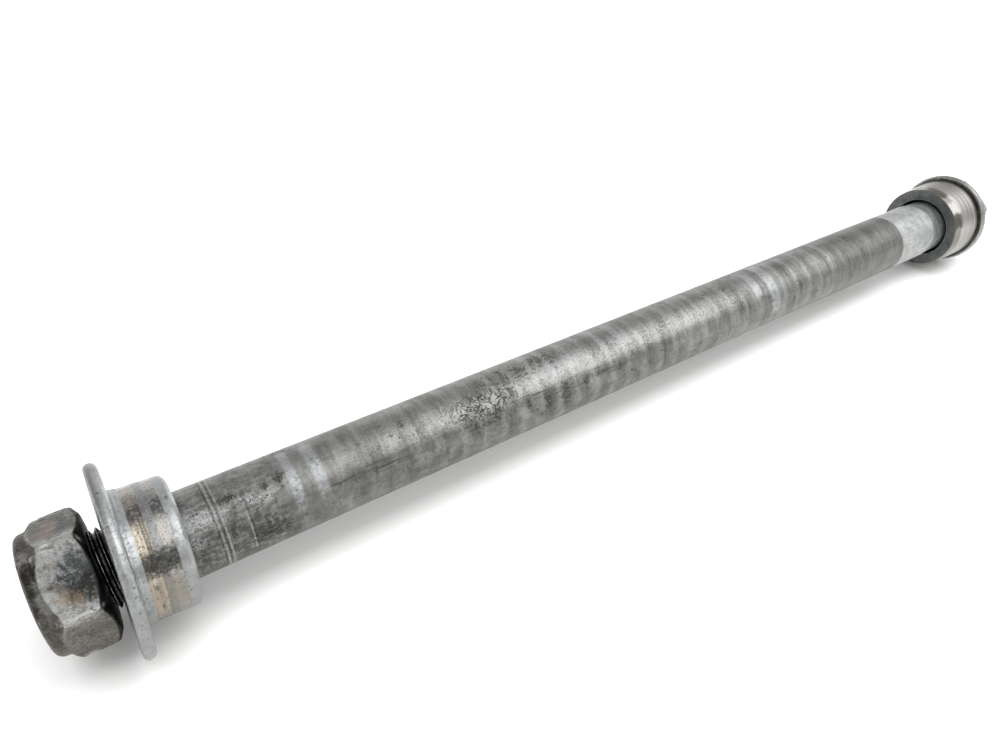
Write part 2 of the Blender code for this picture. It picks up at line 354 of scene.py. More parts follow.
class Finish:
    """A metal finish whose patterns read millimetres along and round one line.

    x is the place along the line, angle the one round it and reach the distance from it; torn is
    a noise about 0 that makes the edges of marks ragged.
    """

    def __init__(self, name, line, roughness=0.4):
        self.material = bpy.data.materials.new(name)
        self.material.use_nodes = True
        self.tree = self.material.node_tree
        self.shader = self.tree.nodes["Principled BSDF"]
        self.shader.inputs["Metallic"].default_value = 1.0
        self.shader.inputs["Roughness"].default_value = roughness
        where = self.tree.nodes.new("ShaderNodeTexCoord")
        turn = self.tree.nodes.new("ShaderNodeMapping")
        turn.vector_type = "TEXTURE"
        spot, rotation, scale = line.decompose()
        turn.inputs["Location"].default_value = spot
        turn.inputs["Rotation"].default_value = rotation.to_euler()
        turn.inputs["Scale"].default_value = scale
        self.tree.links.new(where.outputs["Object"], turn.inputs["Vector"])
        self.point = turn.outputs["Vector"]
        split = self.tree.nodes.new("ShaderNodeSeparateXYZ")
        self.tree.links.new(self.point, split.inputs[0])
        self.x, self.y, self.z = split.outputs
        self.angle = self.times(self.math("ARCTAN2", self.times(self.y, -1.0), self.z), 180 / pi)
        self.reach = self.length(self.y, self.z)
        self.torn = self.math("SUBTRACT", self.noise(1.3, 5.0, sharp=0.62, shift=13.0), 0.5)

    def put(self, socket, value):
        if isinstance(value, bpy.types.NodeSocket):
            self.tree.links.new(value, socket)
        elif isinstance(value, tuple) and len(value) == 3 and socket.type == "RGBA":
            socket.default_value = (*value, 1.0)
        else:
            socket.default_value = value

    def math(self, operation, a, b=0.0, c=0.0):
        node = self.tree.nodes.new("ShaderNodeMath")
        node.operation = operation
        for socket, value in zip(node.inputs, (a, b, c)):
            self.put(socket, value)
        return node.outputs[0]

    def chained(self, operation, values):
        result = values[0]
        for value in values[1:]:
            result = self.math(operation, result, value)
        return result

    def times(self, *values):
        return self.chained("MULTIPLY", values)

    def most(self, *values):
        """The largest of the values."""
        return self.chained("MAXIMUM", values)

    def less(self, mask):
        """What a mask leaves: 1 where it is 0."""
        return self.math("SUBTRACT", 1.0, mask)

    def length(self, a, b):
        """The length of a step of a one way and b the other."""
        return self.math("SQRT", self.math("ADD", self.times(a, a), self.times(b, b)))

    def rise(self, value, low, high, top=1.0):
        """0 below low, top above high, with a soft step between; high may be the lower one."""
        node = self.tree.nodes.new("ShaderNodeMapRange")
        node.interpolation_type = "SMOOTHSTEP"
        for socket, number in zip(node.inputs, (value, low, high, 0.0, top)):
            self.put(socket, number)
        return node.outputs[0]

    def between(self, value, low, high, soft):
        """1 between low and high, falling to 0 over a soft edge outside them."""
        return self.times(self.rise(value, low - soft, low), self.rise(value, high + soft, high))

    def noise(self, scale, detail=3.0, stretch=(1, 1, 1), shift=0.0, sharp=0.5, warp=0.0):
        """A noise of that many features per millimetre; stretch multiplies each direction."""
        move = self.tree.nodes.new("ShaderNodeMapping")
        move.inputs["Scale"].default_value = stretch
        move.inputs["Location"].default_value = (shift, shift * 1.7, shift * -2.3)
        self.tree.links.new(self.point, move.inputs["Vector"])
        node = self.tree.nodes.new("ShaderNodeTexNoise")
        self.tree.links.new(move.outputs[0], node.inputs["Vector"])
        node.inputs["Scale"].default_value = scale
        node.inputs["Detail"].default_value = detail
        node.inputs["Roughness"].default_value = sharp
        node.inputs["Distortion"].default_value = warp
        return node.outputs["Fac"]

    def veins(self, scale, detail, **kind):
        """A noise's distance from its middle, which is near 0 along thin curling lines."""
        return self.math("ABSOLUTE", self.math("SUBTRACT", self.noise(scale, detail, **kind), 0.5))

    def mix(self, factor, below, above, blend="MIX"):
        node = self.tree.nodes.new("ShaderNodeMix")
        node.data_type = "RGBA"
        node.blend_type = blend
        self.put(node.inputs["Factor"], factor)
        self.put(node.inputs[6], below)
        self.put(node.inputs[7], above)
        return node.outputs[2]

    def ramp(self, value, *stops):
        """A colour that follows a value through (place, colour) stops."""
        node = self.tree.nodes.new("ShaderNodeValToRGB")
        self.put(node.inputs[0], value)
        marks = node.color_ramp.elements
        while len(marks) < len(stops):
            marks.new(0.5)
        for mark, (spot, colour) in zip(marks, stops):
            mark.position = spot
            mark.color = (*colour, 1.0)
        return node.outputs[0]

    def patch(self, x, angle, length, width, ragged=0.5):
        """A ragged mark at (x, angle), so many millimetres long and degrees wide."""
        along = self.math("DIVIDE", self.math("SUBTRACT", self.x, x), length / 2)
        around = self.math("DIVIDE", self.math("SUBTRACT", self.angle, angle), width / 2)
        away = self.math("ADD", self.length(along, around), self.times(self.torn, 4 * ragged))
        return self.rise(away, 1.35, 0.55)

    def patches(self, *spots, ragged=0.5):
        """All the ragged marks in a list, as one mask."""
        return self.most(0.0, *[self.patch(*spot, ragged=ragged) for spot in spots])

    def underside(self, low, high):
        """1 on the lower side, which faces the floor."""
        return self.rise(self.math("ABSOLUTE", self.angle), low, high)

    def ring(self, x, width, low=None, high=None):
        """A line round the piece, so wide, all round or between two angles."""
        line = self.between(self.x, x - width / 2, x + width / 2, width / 2)
        if low is None:
            return line
        return self.times(line, self.between(self.angle, low, high, 8))

    def blend(self, *parts):
        """A sum of (value, weight) pairs."""
        total = 0.0
        for value, weight in parts:
            total = self.math("MULTIPLY_ADD", value, weight, total)
        return total

    def bump(self, height, depth):
        """Depth in millimetres for a height of 1."""
        node = self.tree.nodes.new("ShaderNodeBump")
        node.inputs["Strength"].default_value = 1.0
        node.inputs["Distance"].default_value = depth * MM
        self.put(node.inputs["Height"], height)
        self.tree.links.new(node.outputs[0], self.shader.inputs["Normal"])

    def colour(self, value):
        self.put(self.shader.inputs["Base Color"], value)

    def rough(self, value):
        self.put(self.shader.inputs["Roughness"], value)


def worn_steel():
    """The shaft: grey steel with brown stains, rubbed bands across it, pits, fine rings and painted light
    and shade.
    """
    f = Finish("worn_steel", SHAFT_LINE)
    cloud = f.noise(0.13, 5.0, stretch=(1.3, 0.8, 0.8), sharp=0.62)
    streak = f.noise(0.85, 5.0, stretch=(1, 0.16, 0.16), sharp=0.62, shift=3.0)
    scratch = f.noise(1.5, 4.0, stretch=(0.07, 1, 1), sharp=0.6, shift=9.0)
    grain = f.noise(2.4, 4.0, sharp=0.72, shift=7.0)
    tone = f.blend((cloud, 0.34), (streak, 0.30), (scratch, 0.10), (grain, 0.26))
    steel = f.ramp(tone, (0.37, (0.086, 0.082, 0.074)), (0.46, (0.187, 0.187, 0.176)),
                   (0.53, (0.281, 0.281, 0.269)), (0.64, (0.421, 0.421, 0.413)))
    steel, middle_highlight = paint_middle_highlight(f, steel, cloud, grain)
    steel, wave = band_shaft(f, steel, grain)
    steel = shaft_stains_and_dark_reflection(f, steel, wave, streak, grain)
    steel = scratch_shaft(f, steel, scratch, grain)
    marks = mark_shaft(f, cloud)
    # painted shade towards the nut, then the marks, a painted dark reflection below the highlight,
    # painted shade low down and a painted reflection lighter along the top
    steel = f.mix(f.rise(f.x, -50, -125, 0.22), steel, f.mix(0.5, steel, (0.05, 0.05, 0.048)))
    steel = f.mix(f.times(marks, 0.8), steel, (0.066, 0.062, 0.056))
    steel = f.mix(f.rise(f.angle, 50, 64, 0.10), steel, (0.05, 0.049, 0.045))
    steel = f.mix(f.underside(64, 88), steel, (0.80, 0.80, 0.79), "MULTIPLY")
    steel = f.mix(f.times(f.between(f.angle, -10, 14, 10), 0.12), steel, (0.50, 0.50, 0.49))
    # a duller length towards the head
    dull = f.between(f.x, DULL_START, CLEAN_START, 0.4)
    steel = f.mix(f.times(dull, 0.34), steel, (0.133, 0.129, 0.121))
    steel, rings = score_shaft(f, steel)
    steel = finish_head_end(f, steel, cloud, streak, scratch, grain)
    f.colour(steel)
    worn = f.blend((streak, 0.22), (grain, 0.22), (middle_highlight, -0.08), (marks, 0.25))
    smooth = f.rise(f.x, CLEAN_START - 0.1, CLEAN_START + 0.4, 0.12)
    f.rough(f.math("ADD", worn, f.math("ADD", 0.24, smooth)))
    f.bump(f.blend((streak, 0.6), (grain, 0.5), (scratch, 0.35), (marks, -1.2), (rings, 1.0)), 0.08)
    return f.material


def paint_middle_highlight(f, steel, cloud, grain):
    """Painted highlight along the lit band of the middle, fading towards both ends."""
    # painted highlight: lighter steel where the lamp's highlight falls
    middle_highlight = f.times(f.between(f.x, -60, 10, 45), f.between(f.angle, 20, 46, 12))
    middle_highlight = f.times(middle_highlight, f.rise(f.blend((grain, 0.7), (cloud, 0.3)), 0.40, 0.58))
    middle_highlight = f.times(middle_highlight, f.less(f.between(f.x, -66, -56, 6)))
    return f.mix(f.times(middle_highlight, 0.5), steel, (0.515, 0.515, 0.507)), middle_highlight


def band_shaft(f, steel, grain):
    """Faint bands at even spacing, and four brighter ones."""
    wobble = f.times(f.noise(0.10, 2.0, shift=11.0), 1.2)
    phase = f.times(f.math("SUBTRACT", f.x, BAND_MIDDLE), 2 * pi / BAND_SPACING)
    wave = f.math("COSINE", f.math("ADD", phase, wobble))
    band = f.rise(f.blend((wave, 1.0), (f.torn, 1.6)), 0.1, 1.3)
    here = f.times(f.rise(f.noise(0.06, 2.0, shift=5.0), 0.30, 0.55), f.between(f.x, -100, 79, 12))
    here = f.times(here, f.rise(f.angle, -40, 0), f.rise(grain, 0.32, 0.52))
    here = f.times(here, f.less(f.rise(f.angle, 50, 64, 0.55)))
    here = f.times(here, f.less(f.times(f.between(f.x, -101, -66, 5), 0.8)))
    steel = f.mix(f.times(band, here, 0.66), steel, (0.484, 0.503, 0.511))
    bright = f.most(f.ring(-113.2, 1.6, -15, 70), f.ring(-107.5, 1.8, -10, 62),
                    f.ring(47.5, 2.4, -20, 90), f.ring(40.8, 2.0, 0, 45))
    bright = f.times(bright, f.rise(f.torn, -0.22, 0.12))
    return f.mix(f.times(bright, 0.75), steel, (0.515, 0.538, 0.554)), wave


def shaft_stains_and_dark_reflection(f, steel, wave, streak, grain):
    """Brown stains between the bands on the lower side and a burnt one by the nut, both partly painted
    dark reflection.
    """
    # partly real brown stain, partly painted dark reflection below the highlight
    low_side = f.times(f.rise(f.angle, 44, 62), f.rise(f.x, 30, -20))
    blotch = f.blend((f.noise(0.30, 5.0, sharp=0.65, shift=17.0), 1.0), (wave, -0.05), (streak, 0.35))
    brown = f.times(low_side, f.rise(blotch, 0.60, 0.76))
    steel = f.mix(f.times(brown, 0.42), steel, (0.101, 0.09, 0.074))
    # partly burnt, partly painted dark reflection below the highlight
    burnt_and_dark_reflection = f.times(f.between(f.x, -140, -119, 4), f.rise(f.angle, 50, 64),
                    f.rise(f.blend((streak, 0.5), (grain, 0.5)), 0.56, 0.44))
    return f.mix(f.times(burnt_and_dark_reflection, 0.65), steel, (0.066, 0.064, 0.061))


def scratch_shaft(f, steel, scratch, grain):
    """The nut's end scratched dark and light, painted glints in the lit band, and long draw lines low on
    that half.
    """
    drag = f.noise(0.9, 5.0, stretch=(0.5, 1, 1), sharp=0.7, shift=71.0)
    by_nut = f.times(f.between(f.x, -150, -121, 9), f.between(f.angle, -14, 130, 12))
    steel = f.mix(f.times(by_nut, f.rise(drag, 0.50, 0.42, 0.5)), steel, (0.066, 0.066, 0.066))
    steel = f.mix(f.times(by_nut, f.rise(drag, 0.53, 0.62, 0.35)), steel, (0.45, 0.455, 0.45))
    # painted highlight: glints in the lit band by the nut
    glint = f.patches((-133.5, 36, 8, 22), (-137, 62, 5, 16), (-123.5, 34, 3, 14), (-120, 40, 3, 12),
                      ragged=0.9)
    steel = f.mix(f.times(glint, f.rise(grain, 0.42, 0.56, 0.6)), steel, (0.52, 0.53, 0.54))
    lines = f.times(f.rise(scratch, 0.46, 0.40), f.between(f.angle, 54, 66, 5),
                    f.between(f.x, -104, -22, 8))
    return f.mix(f.times(lines, 0.55), steel, (0.066, 0.062, 0.055))


def mark_shaft(f, cloud):
    """A mask of dark specks, curling pits and stained marks."""
    specks = f.times(f.rise(f.noise(1.3, 3.0, sharp=0.6, shift=21.0), 0.63, 0.68),
                     f.rise(cloud, 0.62, 0.40))
    curl = f.veins(0.33, 3.0, sharp=0.6, shift=25.0, warp=0.8)
    crack = f.veins(0.21, 3.0, sharp=0.65, shift=83.0, warp=0.6)
    pits = f.most(f.rise(curl, 0.034, 0.016), f.rise(crack, 0.022, 0.010))
    pits = f.times(pits, f.rise(f.torn, -0.12, 0.0))
    pits = f.times(pits, f.patch(-62, 42, 20, 76, ragged=0.75))
    worms = f.times(f.rise(f.noise(0.62, 3.0, sharp=0.6, shift=57.0, warp=1.0), 0.53, 0.60),
                    f.patch(-49, 5, 34, 34, ragged=0.4))
    pits = f.most(pits, worms)
    marks = f.patches((-116, 20, 2.2, 17), (-119.5, 27, 1.3, 9), (-138.5, 8, 6.5, 20),
                      (-127.5, 22, 4, 12), (-41.5, 2, 2.2, 20), (-48, 10, 2.4, 24), (-54, 8, 2.4, 20),
                      (-85, 15, 1.6, 14), (21.5, 4, 3, 14), (29, 8, 3.5, 12), (-44, 72, 2.6, 34),
                      (-38.1, 73, 3.2, 38), (-50.3, 66, 1.8, 20), (-31, 66, 2.0, 20), (-25, 62, 7, 7),
                      (-18.5, 64, 2.2, 14), (-121, 82, 8, 30), (91, 4, 3, 26), ragged=0.8)
    marks = f.times(marks, f.rise(f.noise(1.9, 4.0, sharp=0.65, shift=29.0), 0.40, 0.56, 0.9))
    return f.most(marks, pits, specks)


def score_shaft(f, steel):
    """Fine rings scored round the shaft, with dark lines of painted groove shade beside them."""
    # painted shade: dark lines where the grooves' sides lie in shade
    shade = f.most(f.ring(-131.7, 0.3), f.ring(-130.6, 0.25), f.ring(-124.5, 0.35, 30, 110))
    shade = f.times(shade, f.rise(f.torn, 0.12, -0.1))
    steel = f.mix(f.times(shade, 0.7), steel, (0.05, 0.048, 0.045))
    rings = f.most(f.ring(-131.2, 0.35), f.ring(-130.1, 0.3), f.ring(-125, 0.3, 48, 100),
                   f.ring(7, 0.4, -10, 60))
    rings = f.times(rings, f.rise(f.torn, -0.2, 0.14))
    return f.mix(f.times(rings, 0.62), steel, (0.45, 0.45, 0.442)), rings


def finish_head_end(f, steel, cloud, streak, scratch, grain):
    """The clean length beside the neck, then the neck itself, then the head."""
    mottle = f.noise(0.35, 5.0, sharp=0.6, shift=2.0)
    light = f.ramp(f.blend((mottle, 0.4), (grain, 0.2), (scratch, 0.2), (streak, 0.2)),
                   (0.41, (0.37, 0.385, 0.375)), (0.57, (0.60, 0.61, 0.605)))
    # painted shade low down on the clean length
    light = f.mix(f.underside(64, 88), light, (0.84, 0.84, 0.84), "MULTIPLY")
    steel = f.mix(f.rise(f.x, CLEAN_START - 0.1, CLEAN_START + 0.4), steel, light)
    neck = f.ramp(f.blend((streak, 0.5), (grain, 0.5)), (0.42, (0.257, 0.273, 0.273)),
                  (0.60, (0.468, 0.488, 0.484)))
    # painted highlight: a pale line along the neck's chamfer
    steel = f.mix(f.between(f.x, NECK_START - 0.75, NECK_START - 0.1, 0.15), steel, (0.686, 0.694, 0.686))
    steel = f.mix(f.rise(f.x, NECK_START - 0.05, NECK_START + 0.25), steel, neck)
    chips = f.rise(f.noise(0.9, 5.0, sharp=0.7, shift=67.0), 0.58, 0.66, 0.7)
    head = f.ramp(f.blend((cloud, 0.35), (grain, 0.65)), (0.40, (0.255, 0.265, 0.262)),
                  (0.60, (0.47, 0.485, 0.49)))
    head = f.mix(chips, head, (0.15, 0.145, 0.135))
    return f.mix(f.rise(f.x, HEAD_START - 0.2, HEAD_START), steel, head)


def oiled_thread():
    """The thread: blackened and oily, rubbed to thin light lines on its crests."""
    f = Finish("oiled_thread", SHAFT_LINE)
    black = f.ramp(f.noise(0.8, 4.0), (0.4, (0.014, 0.014, 0.013)), (0.65, (0.055, 0.053, 0.05)))
    crest = f.times(f.rise(f.reach, THREAD_CREST - 0.10, THREAD_CREST - 0.02),
                    f.rise(f.torn, -0.12, 0.05))
    f.colour(f.mix(f.times(crest, 0.8), black, (0.328, 0.335, 0.328)))
    f.rough(f.math("ADD", 0.26, f.times(f.torn, 0.3)))
    f.bump(f.noise(1.5, 4.0, shift=4.0), 0.05)
    return f.material


def dark_iron():
    """The nut: dull dark steel, scuffed light on corners and flats, with tan rust, oily ends and painted
    light and shade.
    """
    f = Finish("dark_iron", SHAFT_LINE)
    cloud = f.noise(0.22, 5.0, sharp=0.6)
    grain = f.noise(1.4, 5.0, sharp=0.68, shift=5.0)
    fine = f.noise(4.0, 3.0, sharp=0.7, shift=8.0)
    tone = f.blend((cloud, 0.42), (grain, 0.36), (fine, 0.22))
    iron = f.ramp(tone, (0.39, (0.085, 0.076, 0.064)), (0.49, (0.185, 0.176, 0.16)),
                  (0.60, (0.32, 0.312, 0.295)))
    side = f.between(f.angle, *LOW_FLAT, 2)
    iron, dark = colour_flats(f, iron, side, tone, cloud)
    iron, pits = scuff_nut(f, iron, side, cloud)
    iron = coat_ends(f, iron, cloud, grain)
    f.colour(iron)
    f.rough(f.blend((grain, 0.30), (dark, -0.10), (1.0, 0.26)))
    f.bump(f.blend((cloud, 0.6), (grain, 0.5), (fine, 0.22), (pits, -0.3)), 0.3)
    return f.material


def colour_flats(f, iron, side, tone, cloud):
    """A bluish painted reflection on the forward flat, a brown flat under it, blackened spots, flats in
    painted shade and rust.
    """
    # painted reflection: the forward flat, which faces the lamp, lighter and bluish
    front = f.times(f.between(f.angle, *FRONT_FLAT, 2), f.rise(cloud, 0.38, 0.52))
    iron = f.mix(f.times(front, 0.65), iron, (0.359, 0.37, 0.37))
    brown = f.ramp(tone, (0.42, (0.109, 0.103, 0.094)), (0.58, (0.234, 0.226, 0.207)))
    iron = f.mix(f.times(side, 0.7), iron, brown)
    # blackened spots on the forward flat and on top, and the flats that lie in shade
    worn_side = f.rise(f.noise(0.5, 5.0, sharp=0.7, shift=47.0), 0.50, 0.62, 0.4)
    smoke = f.noise(0.45, 4.0, sharp=0.6, shift=19.0)
    black = f.math("SUBTRACT", f.patch(-158.0, 42, 9.0, 48, ragged=0.3), f.rise(smoke, 0.52, 0.74, 0.55))
    top_black = f.times(f.patch(-158.5, -20, 6.5, 44, ragged=0.4), 0.75)
    dark = f.most(black, top_black, 0.0)
    iron = f.mix(f.times(f.underside(68, 76), worn_side), iron, (0.34, 0.335, 0.32))
    iron = f.mix(f.times(dark, 0.95), iron, (0.045, 0.05, 0.051))
    low_edge = f.times(f.between(f.angle, 44, 70, 6), f.rise(cloud, 0.66, 0.42))
    top_flat = f.times(f.rise(f.angle, 10, -12), 0.7)
    shade = f.most(low_edge, top_flat, f.underside(68, 76))
    iron = f.mix(shade, iron, (0.56, 0.54, 0.50), "MULTIPLY")
    # rust on the edges by the crown
    rust = f.patches((-161.6, 55, 2.6, 17), (-159.6, 59, 2.0, 12), (-161.9, 27, 1.0, 6),
                     (-160.6, -17, 3.0, 30), (-162.2, -10, 1.6, 16), ragged=0.9)
    return f.mix(f.times(rust, 0.42), iron, (0.281, 0.203, 0.136)), dark


def scuff_nut(f, iron, side, cloud):
    """Whitish scuffs, scratches and rubbed long corners, flecks low down, pits by the corners."""
    corner = f.math("COSINE", f.times(f.math("SUBTRACT", f.angle, NUT_TURN), 6 * pi / 180))
    scuff = f.rise(f.blend((corner, 1.0), (f.torn, 1.4), (cloud, 0.8)), 0.95, 1.5)
    bruise = f.rise(f.noise(0.6, 5.0, sharp=0.7, shift=31.0), 0.54, 0.66, 0.30)
    ridge = f.times(f.rise(corner, 0.975, 0.998), f.rise(f.torn, -0.2, 0.0))
    line = f.veins(0.5, 4.0, sharp=0.6, shift=91.0, warp=0.5)
    line = f.times(f.rise(line, 0.012, 0.003, 0.5), f.rise(cloud, 0.45, 0.55))
    hair = f.veins(1.1, 3.0, sharp=0.6, shift=73.0, warp=0.8)
    line = f.most(line, f.times(f.rise(hair, 0.016, 0.004, 0.4), f.rise(f.torn, -0.05, 0.08)))
    scuff = f.most(f.times(scuff, 0.7), bruise, line)
    scuff = f.times(scuff, f.rise(f.angle, 100, 66))
    iron = f.mix(scuff, iron, (0.468, 0.468, 0.46))
    iron = f.mix(f.times(ridge, 0.5), iron, (0.56, 0.555, 0.54))
    fleck = f.noise(2.4, 4.0, sharp=0.75, shift=53.0)
    iron = f.mix(f.times(side, f.rise(fleck, 0.53, 0.62, 0.42)), iron, (0.33, 0.32, 0.30))
    iron = f.mix(f.times(side, f.rise(fleck, 0.47, 0.39, 0.5)), iron, (0.05, 0.045, 0.04))
    pits = f.times(f.rise(f.noise(2.2, 3.0, sharp=0.6, shift=35.0), 0.60, 0.66),
                   f.rise(corner, 0.4, 0.9, 0.4))
    return f.mix(pits, iron, (0.078, 0.055, 0.043)), pits


def coat_ends(f, iron, cloud, grain):
    """A brown-black crown behind a broken painted highlight on its edge, and a black bearing face, partly
    oil and partly painted shade.
    """
    past = f.most(f.math("SUBTRACT", f.reach, CROWN_RADIUS), 0.0)
    edge = f.math("MULTIPLY_ADD", past, -tan(CROWN_CHAMFER_ANGLE),
                  f.math("SUBTRACT", f.x, CROWN_END + CROWN_HEIGHT))
    edge = f.math("MULTIPLY_ADD", f.torn, 0.7, edge)
    # painted highlight along the crown's broken edge, on the upper side
    crown_edge_highlight = f.times(f.between(edge, 0.3, 0.65, 0.25), f.rise(f.angle, 100, 66))
    iron = f.mix(f.times(crown_edge_highlight, f.rise(f.torn, -0.06, 0.1, 0.55)), iron, (0.42, 0.42, 0.41))
    crown = f.rise(edge, 0.34, 0.04)
    rub = f.patches((-165.4, 50, 2.4, 26), (-165.8, 6, 2, 22), (-165.4, 118, 2, 20), ragged=0.9)
    crown = f.times(crown, f.less(f.times(rub, 0.55)))
    coat = f.ramp(f.blend((cloud, 0.5), (grain, 0.5)), (0.42, (0.023, 0.021, 0.018)),
                  (0.60, (0.101, 0.087, 0.07)))
    iron = f.mix(f.times(crown, 0.88), iron, coat)
    # the bearing face black: partly oil, partly painted shade where it faces the collar
    end = f.math("MULTIPLY_ADD", f.math("SUBTRACT", f.reach, NUT_FACE), tan(CHAMFER_ANGLE), f.x)
    return f.mix(f.rise(end, NUT_END - 0.55, NUT_END - 0.25, 0.95), iron, (0.02, 0.02, 0.019))


def spring_steel():
    f = Finish("spring_steel", SHAFT_LINE, roughness=0.35)
    f.colour(f.ramp(f.noise(0.8, 4.0), (0.35, (0.078, 0.074, 0.07)), (0.7, (0.203, 0.195, 0.187))))
    f.bump(f.noise(2.0, 4.0), 0.02)
    return f.material


def scuffed_zinc():
    """The flanged collar: zinc plating, with two bands of the barrel worn to brown-stained steel, and
    painted light and shade.
    """
    f = Finish("scuffed_zinc", COLLAR_LINE)
    cloud = f.noise(0.3, 5.0, sharp=0.6)
    grain = f.noise(1.8, 5.0, sharp=0.68, shift=5.0)
    turned_lines = f.noise(3.0, 3.0, stretch=(1, 0.04, 0.04), shift=2.0)
    zinc = f.ramp(f.blend((cloud, 0.5), (grain, 0.5)), (0.40, (0.367, 0.382, 0.386)),
                  (0.60, (0.546, 0.562, 0.566)))
    ragged_angle = f.math("MULTIPLY_ADD", f.torn, 30.0, f.angle)
    shaky_x = f.math("MULTIPLY_ADD", f.torn, 0.5, f.x)
    on_barrel = f.rise(f.reach, HUB_RADIUS + 0.06, HUB_RADIUS + 0.02)
    zinc = shade_zinc(f, zinc, ragged_angle)
    zinc, worn = bare_bands(f, zinc, shaky_x, on_barrel, turned_lines, grain)
    zinc, stain_and_dark_reflection = barrel_stains_and_reflections(f, zinc, shaky_x, ragged_angle, on_barrel, turned_lines, grain)
    nicks = nick_collar(f)
    zinc = f.mix(f.times(nicks, 0.55), zinc, (0.078, 0.076, 0.078))
    f.colour(zinc)
    f.rough(f.blend((grain, 0.24), (worn, -0.16), (nicks, 0.2), (stain_and_dark_reflection, 0.10), (1.0, 0.26)))
    f.bump(f.blend((grain, 0.6), (turned_lines, 0.2), (nicks, -1.0)), 0.08)
    return f.material


def shade_zinc(f, zinc, ragged_angle):
    """Painted shade on the plating: low down, on top and on the side by the nut."""
    # painted shade low down, underneath, on the flange's top and on its side by the nut
    low = f.most(f.between(f.angle, 62, 150, 14), f.rise(f.angle, 4, -18))
    zinc = f.mix(f.times(low, 0.45), zinc, (0.23, 0.235, 0.225))
    zinc = f.mix(f.underside(64, 80), zinc, (0.78, 0.78, 0.77), "MULTIPLY")
    flange_top = f.times(f.rise(f.angle, 6, -16), f.rise(f.reach, HUB_RADIUS + 0.1, HUB_RADIUS + 1.5))
    zinc = f.mix(flange_top, zinc, (0.68, 0.69, 0.68), "MULTIPLY")
    nut_side = f.times(f.rise(f.x, COLLAR_START + 1.5, COLLAR_START + 0.5), f.rise(ragged_angle, 34, 4))
    return f.mix(nut_side, zinc, (0.60, 0.59, 0.56), "MULTIPLY")


def bare_bands(f, zinc, shaky_x, on_barrel, turned_lines, grain):
    """Two bands of the barrel worn through to bare steel, with a painted reflection greyer on top."""
    first_band = f.between(shaky_x, *FIRST_BAND, 0.15)
    second_band = f.between(shaky_x, *SECOND_BAND, 0.2)
    worn = f.times(f.most(first_band, second_band), on_barrel)
    bare = f.ramp(f.blend((turned_lines, 0.6), (grain, 0.4)), (0.40, (0.257, 0.226, 0.183)),
                  (0.60, (0.468, 0.425, 0.355)))
    bare = f.mix(f.times(second_band, 0.7), bare, (0.36, 0.358, 0.348))
    # painted reflection: the bare steel greyer along the top
    grey = f.ramp(grain, (0.40, (0.234, 0.226, 0.215)), (0.60, (0.359, 0.351, 0.339)))
    bare = f.mix(f.times(f.rise(f.angle, 12, -4), 0.75), bare, grey)
    return f.mix(worn, zinc, bare), worn


def barrel_stains_and_reflections(f, zinc, shaky_x, ragged_angle, on_barrel, turned_lines, grain):
    """The dull plating between the bands, a brown-black stain partly painted, and painted reflection and
    shade on the barrel.
    """
    barrel = f.times(f.between(f.x, *BARREL, 0.08), on_barrel)
    dull = f.times(f.between(shaky_x, 0.5, 2.2, 0.2), on_barrel)
    dim = f.ramp(f.blend((turned_lines, 0.4), (grain, 0.6)), (0.42, (0.211, 0.209, 0.209)),
                 (0.60, (0.359, 0.359, 0.359)))
    zinc = f.mix(f.times(dull, 0.8), zinc, dim)
    # painted reflection: tan low down on the barrel
    zinc = f.mix(f.times(barrel, f.rise(f.angle, 66, 76), 0.45), zinc, (0.281, 0.254, 0.211))
    # a brown-black band below the highlight: partly real stain, partly painted dark reflection
    stain_and_dark_reflection = f.times(f.between(ragged_angle, 52, 63, 9), f.rise(f.torn, -0.35, -0.05), barrel)
    # painted dark reflection: a dark bluish band near the top
    dark_reflection_blot = f.times(f.between(ragged_angle, 9, 18, 6), f.rise(f.torn, -0.16, 0.04, 0.8))
    dark_reflection_blot = f.times(dark_reflection_blot, barrel, f.less(f.times(dull, 0.8)))
    rear = f.times(f.between(shaky_x, 0.5, 4.3, 0.2), on_barrel, f.rise(f.angle, 12, 30))
    zinc = f.mix(f.times(rear, 0.28), zinc, (0.18, 0.176, 0.165))
    # painted shade under the barrel
    zinc = f.mix(f.times(barrel, f.underside(66, 78)), zinc, (0.82, 0.80, 0.76), "MULTIPLY")
    zinc = f.mix(dark_reflection_blot, zinc, (0.085, 0.088, 0.105))
    soot = f.ramp(grain, (0.40, (0.04, 0.04, 0.036)), (0.62, (0.13, 0.128, 0.112)))
    return f.mix(f.times(stain_and_dark_reflection, 0.92), zinc, soot), stain_and_dark_reflection


def nick_collar(f):
    """A mask of nicks, curling scratches, specks and scars."""
    nicks = f.patches((-6.0, 6, 1.0, 1.4), (-6.2, 27, 1.5, 0.9), (-5.2, 61, 0.6, 1.6),
                      (-5.3, 66, 0.5, 1.2), (-1.1, 77, 0.5, 4), (-0.8, 98, 0.6, 5), (5.6, 8, 0.7, 4),
                      (1.2, 66, 0.9, 6), ragged=0.9)
    curl = f.veins(0.8, 3.0, shift=25.0, warp=1.2)
    curl = f.times(f.rise(curl, 0.016, 0.006), f.rise(f.noise(0.7, 2.0, shift=45.0), 0.55, 0.64))
    specks = f.rise(f.noise(2.4, 3.0, sharp=0.6, shift=41.0), 0.60, 0.68, 0.55)
    scars = f.noise(1.6, 3.0, stretch=(0.5, 1.0, 1.0), sharp=0.6, shift=61.0)
    scars = f.times(f.rise(scars, 0.58, 0.66, 0.7), f.rise(f.x, HUB_END, HUB_END - 1),
                    f.between(f.angle, 30, 120, 20))
    return f.most(nicks, specks, scars, f.times(curl, 0.7))


